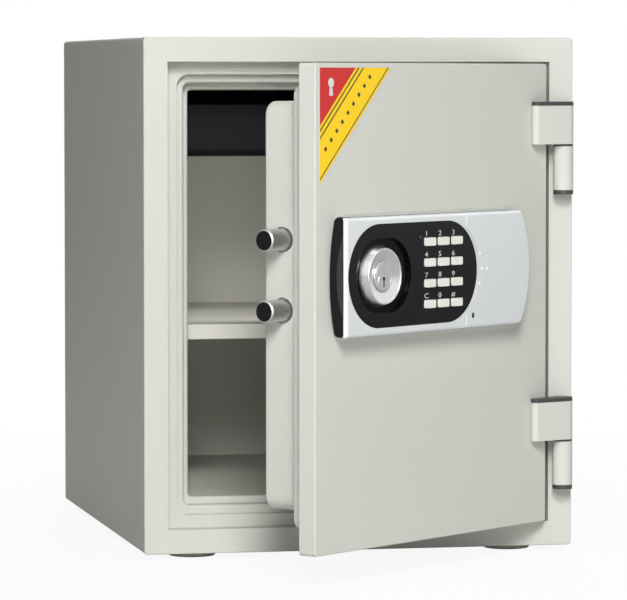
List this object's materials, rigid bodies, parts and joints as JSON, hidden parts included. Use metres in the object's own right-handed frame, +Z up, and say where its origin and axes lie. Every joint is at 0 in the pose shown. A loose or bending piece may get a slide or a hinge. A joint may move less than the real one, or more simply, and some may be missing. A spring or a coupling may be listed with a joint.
{
  "type": "fire safe",
  "caption": "Small fire safe with a stepped hinged door, round throwing bolts, a knob with key lock, a keypad, a shelf and a drawer.",
  "frame": {"origin": "on the surface that the feet stand on, under the middle of the box round the safe with its door ajar", "axes": "+Z up, -Y the way the cabinet's front looks, +X towards the hinges"},
  "size_m": [0.352, 0.6424, 0.417],
  "materials": {
    "paint": "satin",
    "steel": "satin",
    "filling": "matte",
    "rubber": "matte",
    "dark_plastic": "satin",
    "black_panel": "gloss",
    "silver_plastic": "satin",
    "satin_chrome": "satin",
    "board": "satin",
    "lamp": "gloss",
    "battery": "satin",
    "key_plastic": "satin"
  },
  "bodies": {
    "cabinet": {"outer_shell": "paint", "back_cover": "paint", "back_screws": "steel", "door_frame": "paint", "inner_liner": "paint", "body_filling": "filling", "strike_box": "steel", "shelf": "paint", "shelf_supports": "paint", "drawer_runners": "steel", "feet": "rubber", "foot_screws": "steel", "fixed_hinges": "paint", "hinge_pins": "steel", "hinge_bottom_caps": "dark_plastic", "hinge_washers": "dark_plastic"},
    "drawer": {"drawer": "dark_plastic"},
    "door": {"door_plate": "paint", "door_filling": "filling", "door_step": "paint", "door_seal": "rubber", "plug_pan": "paint", "pan_screws": "steel", "hinge_leaves": "paint", "hinge_top_caps": "dark_plastic", "lock_plate": "steel", "bolt_guide": "steel", "solenoid": "dark_plastic", "solenoid_bracket": "steel", "panel_base": "silver_plastic", "panel_cover": "silver_plastic", "panel_inlay": "black_panel", "panel_end_cap": "dark_plastic", "circuit_board": "board", "status_lamp": "lamp", "battery_tray": "dark_plastic", "batteries": "battery", "knob_collar": "black_panel"},
    "battery_cover": {"battery_cover": "silver_plastic"},
    "knob": {"knob": "satin_chrome", "spindle": "steel", "crank": "steel", "cylinder_housing": "satin_chrome"},
    "cylinder_plug": {"cylinder_plug": "satin_chrome"},
    "bolts": {"bolts": "steel", "bolt_bar": "steel", "bolt_rivets": "steel"},
    "solenoid_plunger": {"solenoid_plunger": "steel"},
    "key_1": {"key_1": "key_plastic"},
    "key_2": {"key_2": "key_plastic"},
    "key_3": {"key_3": "key_plastic"},
    "key_4": {"key_4": "key_plastic"},
    "key_5": {"key_5": "key_plastic"},
    "key_6": {"key_6": "key_plastic"},
    "key_7": {"key_7": "key_plastic"},
    "key_8": {"key_8": "key_plastic"},
    "key_9": {"key_9": "key_plastic"},
    "key_clear": {"key_clear": "key_plastic"},
    "key_0": {"key_0": "key_plastic"},
    "key_hash": {"key_hash": "key_plastic"}
  },
  "joints": [
    {"name": "door_hinge", "type": "hinge", "parent": "cabinet", "child": "door", "pos_m": [0.166, -0.1176, 0.211], "axis": [0, 0, 1], "range_deg": [-41, 69]},
    {"name": "drawer_slide", "type": "slide", "parent": "cabinet", "child": "drawer", "axis": [0, -1, 0], "range_m": [0, 0.045]},
    {"name": "battery_cover_slide", "type": "slide", "parent": "door", "child": "battery_cover", "axis": [0.7547, 0.6561, 0], "range_m": [0, 0.03]},
    {"name": "knob_turn", "type": "hinge", "parent": "door", "child": "knob", "pos_m": [-0.02747, -0.29241, 0.235], "axis": [-0.6561, 0.7547, 0], "range_deg": [0, 90]},
    {"name": "plug_turn", "type": "hinge", "parent": "knob", "child": "cylinder_plug", "pos_m": [-0.0255, -0.29467, 0.231], "axis": [-0.6561, 0.7547, 0], "range_deg": [0, 90]},
    {"name": "bolts_slide", "type": "slide", "parent": "door", "child": "bolts", "axis": [0.7547, 0.6561, 0], "range_m": [0, 0.0226]},
    {"name": "plunger_slide", "type": "slide", "parent": "door", "child": "solenoid_plunger", "axis": [0, 0, -1], "range_m": [-0.006, 0]},
    {"name": "key_1_press", "type": "slide", "parent": "door", "child": "key_1", "axis": [-0.6561, 0.7547, 0], "range_m": [0, 0.0012], "stiffness_N_per_m": 400},
    {"name": "key_2_press", "type": "slide", "parent": "door", "child": "key_2", "axis": [-0.6561, 0.7547, 0], "range_m": [0, 0.0012], "stiffness_N_per_m": 400},
    {"name": "key_3_press", "type": "slide", "parent": "door", "child": "key_3", "axis": [-0.6561, 0.7547, 0], "range_m": [0, 0.0012], "stiffness_N_per_m": 400},
    {"name": "key_4_press", "type": "slide", "parent": "door", "child": "key_4", "axis": [-0.6561, 0.7547, 0], "range_m": [0, 0.0012], "stiffness_N_per_m": 400},
    {"name": "key_5_press", "type": "slide", "parent": "door", "child": "key_5", "axis": [-0.6561, 0.7547, 0], "range_m": [0, 0.0012], "stiffness_N_per_m": 400},
    {"name": "key_6_press", "type": "slide", "parent": "door", "child": "key_6", "axis": [-0.6561, 0.7547, 0], "range_m": [0, 0.0012], "stiffness_N_per_m": 400},
    {"name": "key_7_press", "type": "slide", "parent": "door", "child": "key_7", "axis": [-0.6561, 0.7547, 0], "range_m": [0, 0.0012], "stiffness_N_per_m": 400},
    {"name": "key_8_press", "type": "slide", "parent": "door", "child": "key_8", "axis": [-0.6561, 0.7547, 0], "range_m": [0, 0.0012], "stiffness_N_per_m": 400},
    {"name": "key_9_press", "type": "slide", "parent": "door", "child": "key_9", "axis": [-0.6561, 0.7547, 0], "range_m": [0, 0.0012], "stiffness_N_per_m": 400},
    {"name": "key_clear_press", "type": "slide", "parent": "door", "child": "key_clear", "axis": [-0.6561, 0.7547, 0], "range_m": [0, 0.0012], "stiffness_N_per_m": 400},
    {"name": "key_0_press", "type": "slide", "parent": "door", "child": "key_0", "axis": [-0.6561, 0.7547, 0], "range_m": [0, 0.0012], "stiffness_N_per_m": 400},
    {"name": "key_hash_press", "type": "slide", "parent": "door", "child": "key_hash", "axis": [-0.6561, 0.7547, 0], "range_m": [0, 0.0012], "stiffness_N_per_m": 400}
  ],
  "couplings": [
    {"joint": "bolts_slide", "follows": "knob_turn", "m_per_rad": 0.014388}
  ]
}
